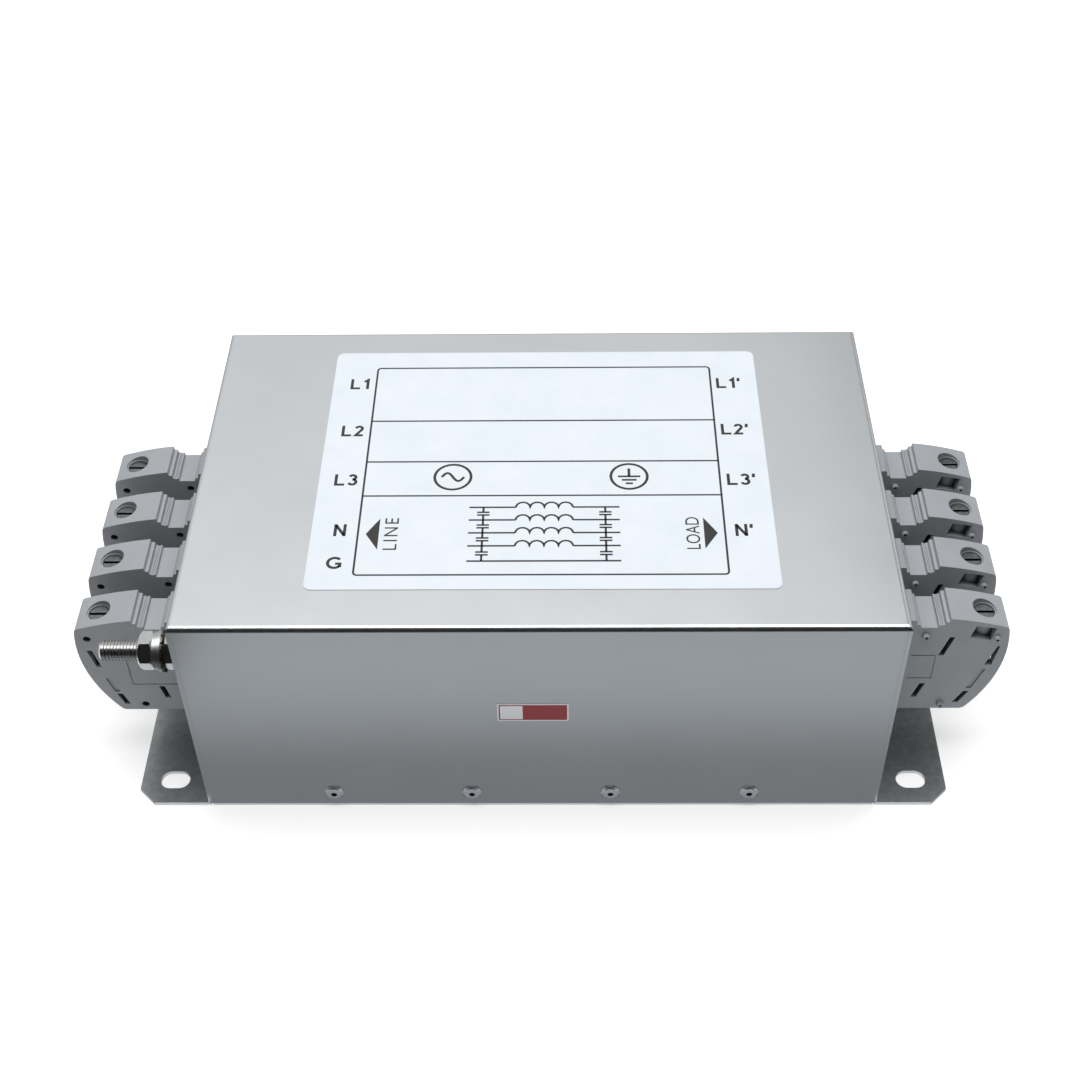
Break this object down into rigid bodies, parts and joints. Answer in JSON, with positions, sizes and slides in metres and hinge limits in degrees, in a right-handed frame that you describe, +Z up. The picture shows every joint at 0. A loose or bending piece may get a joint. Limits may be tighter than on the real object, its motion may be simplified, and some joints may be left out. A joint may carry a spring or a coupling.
{
  "type": "three-phase line filter with neutral",
  "caption": "Long low folded-steel filter case with slotted mounting flanges, rows of feed-through screw terminals on both end walls and a threaded earthing stud.",
  "frame": {"origin": "on the ground under the middle of the case", "axes": "+X from the line terminals to the load terminals, +Z up away from the mounting surface, +Y to the rear panel"},
  "size_m": [0.3624, 0.1756, 0.1067],
  "materials": {
    "case_steel": "satin stainless sheet",
    "rivet_steel": "plain rivet steel",
    "label_film": "printed matte film",
    "grey_polyamide": "fine moulded grain",
    "black_polyamide": "moulded",
    "plated_steel": "zinc plated",
    "bright_plated_steel": "bright plated",
    "dark_spring_steel": "phosphated spring steel",
    "tinned_copper": "tinned",
    "enamelled_copper": "enamelled wire",
    "ferrite": "coated ferrite",
    "insulating_board": "pressed insulation",
    "pad_rubber": "soft",
    "circuit_board": "solder mask",
    "natural_nylon": "natural",
    "capacitor_case": "moulded case",
    "blue_capacitor_case": "moulded case",
    "resistor_body": "coated",
    "wire_insulation": "extruded sleeve"
  },
  "bodies": {
    "root": {"case_cover": "case_steel", "base_tray": "case_steel", "tray_rivets": "rivet_steel", "rating_label": "label_film", "line_housing_l1": "grey_polyamide", "line_housing_l2": "grey_polyamide", "line_housing_l3": "grey_polyamide", "line_housing_n": "grey_polyamide", "load_housing_l1": "grey_polyamide", "load_housing_l2": "grey_polyamide", "load_housing_l3": "grey_polyamide", "load_housing_n": "grey_polyamide", "line_clamp_l1": "plated_steel", "line_clamp_l2": "plated_steel", "line_clamp_l3": "plated_steel", "line_clamp_n": "plated_steel", "load_clamp_l1": "plated_steel", "load_clamp_l2": "plated_steel", "load_clamp_l3": "plated_steel", "load_clamp_n": "plated_steel", "line_bar_l1": "tinned_copper", "line_bar_l2": "tinned_copper", "line_bar_l3": "tinned_copper", "line_bar_n": "tinned_copper", "load_bar_l1": "tinned_copper", "load_bar_l2": "tinned_copper", "load_bar_l3": "tinned_copper", "load_bar_n": "tinned_copper", "clamp_screws": "plated_steel", "ground_stud": "bright_plated_steel", "stud_lock_nut": "bright_plated_steel", "flat_washer": "bright_plated_steel", "spring_washer": "bright_plated_steel", "ground_nut": "bright_plated_steel", "tooth_washer": "dark_spring_steel", "line_choke_core": "ferrite", "load_choke_core": "ferrite", "line_winding_l1": "enamelled_copper", "line_winding_l2": "enamelled_copper", "line_winding_l3": "enamelled_copper", "line_winding_n": "enamelled_copper", "load_winding_l1": "enamelled_copper", "load_winding_l2": "enamelled_copper", "load_winding_l3": "enamelled_copper", "load_winding_n": "enamelled_copper", "line_divider": "insulating_board", "load_divider": "insulating_board", "line_cradle": "black_polyamide", "load_cradle": "black_polyamide", "hold_down_pads": "pad_rubber", "splice_sleeves": "tinned_copper", "line_board": "circuit_board", "load_board": "circuit_board", "board_posts": "natural_nylon", "line_x_capacitors": "capacitor_case", "load_x_capacitors": "capacitor_case", "y_capacitors": "blue_capacitor_case", "bleeder_resistors": "resistor_body", "line_board_wires": "wire_insulation", "load_board_wires": "wire_insulation"}
  },
  "joints": []
}
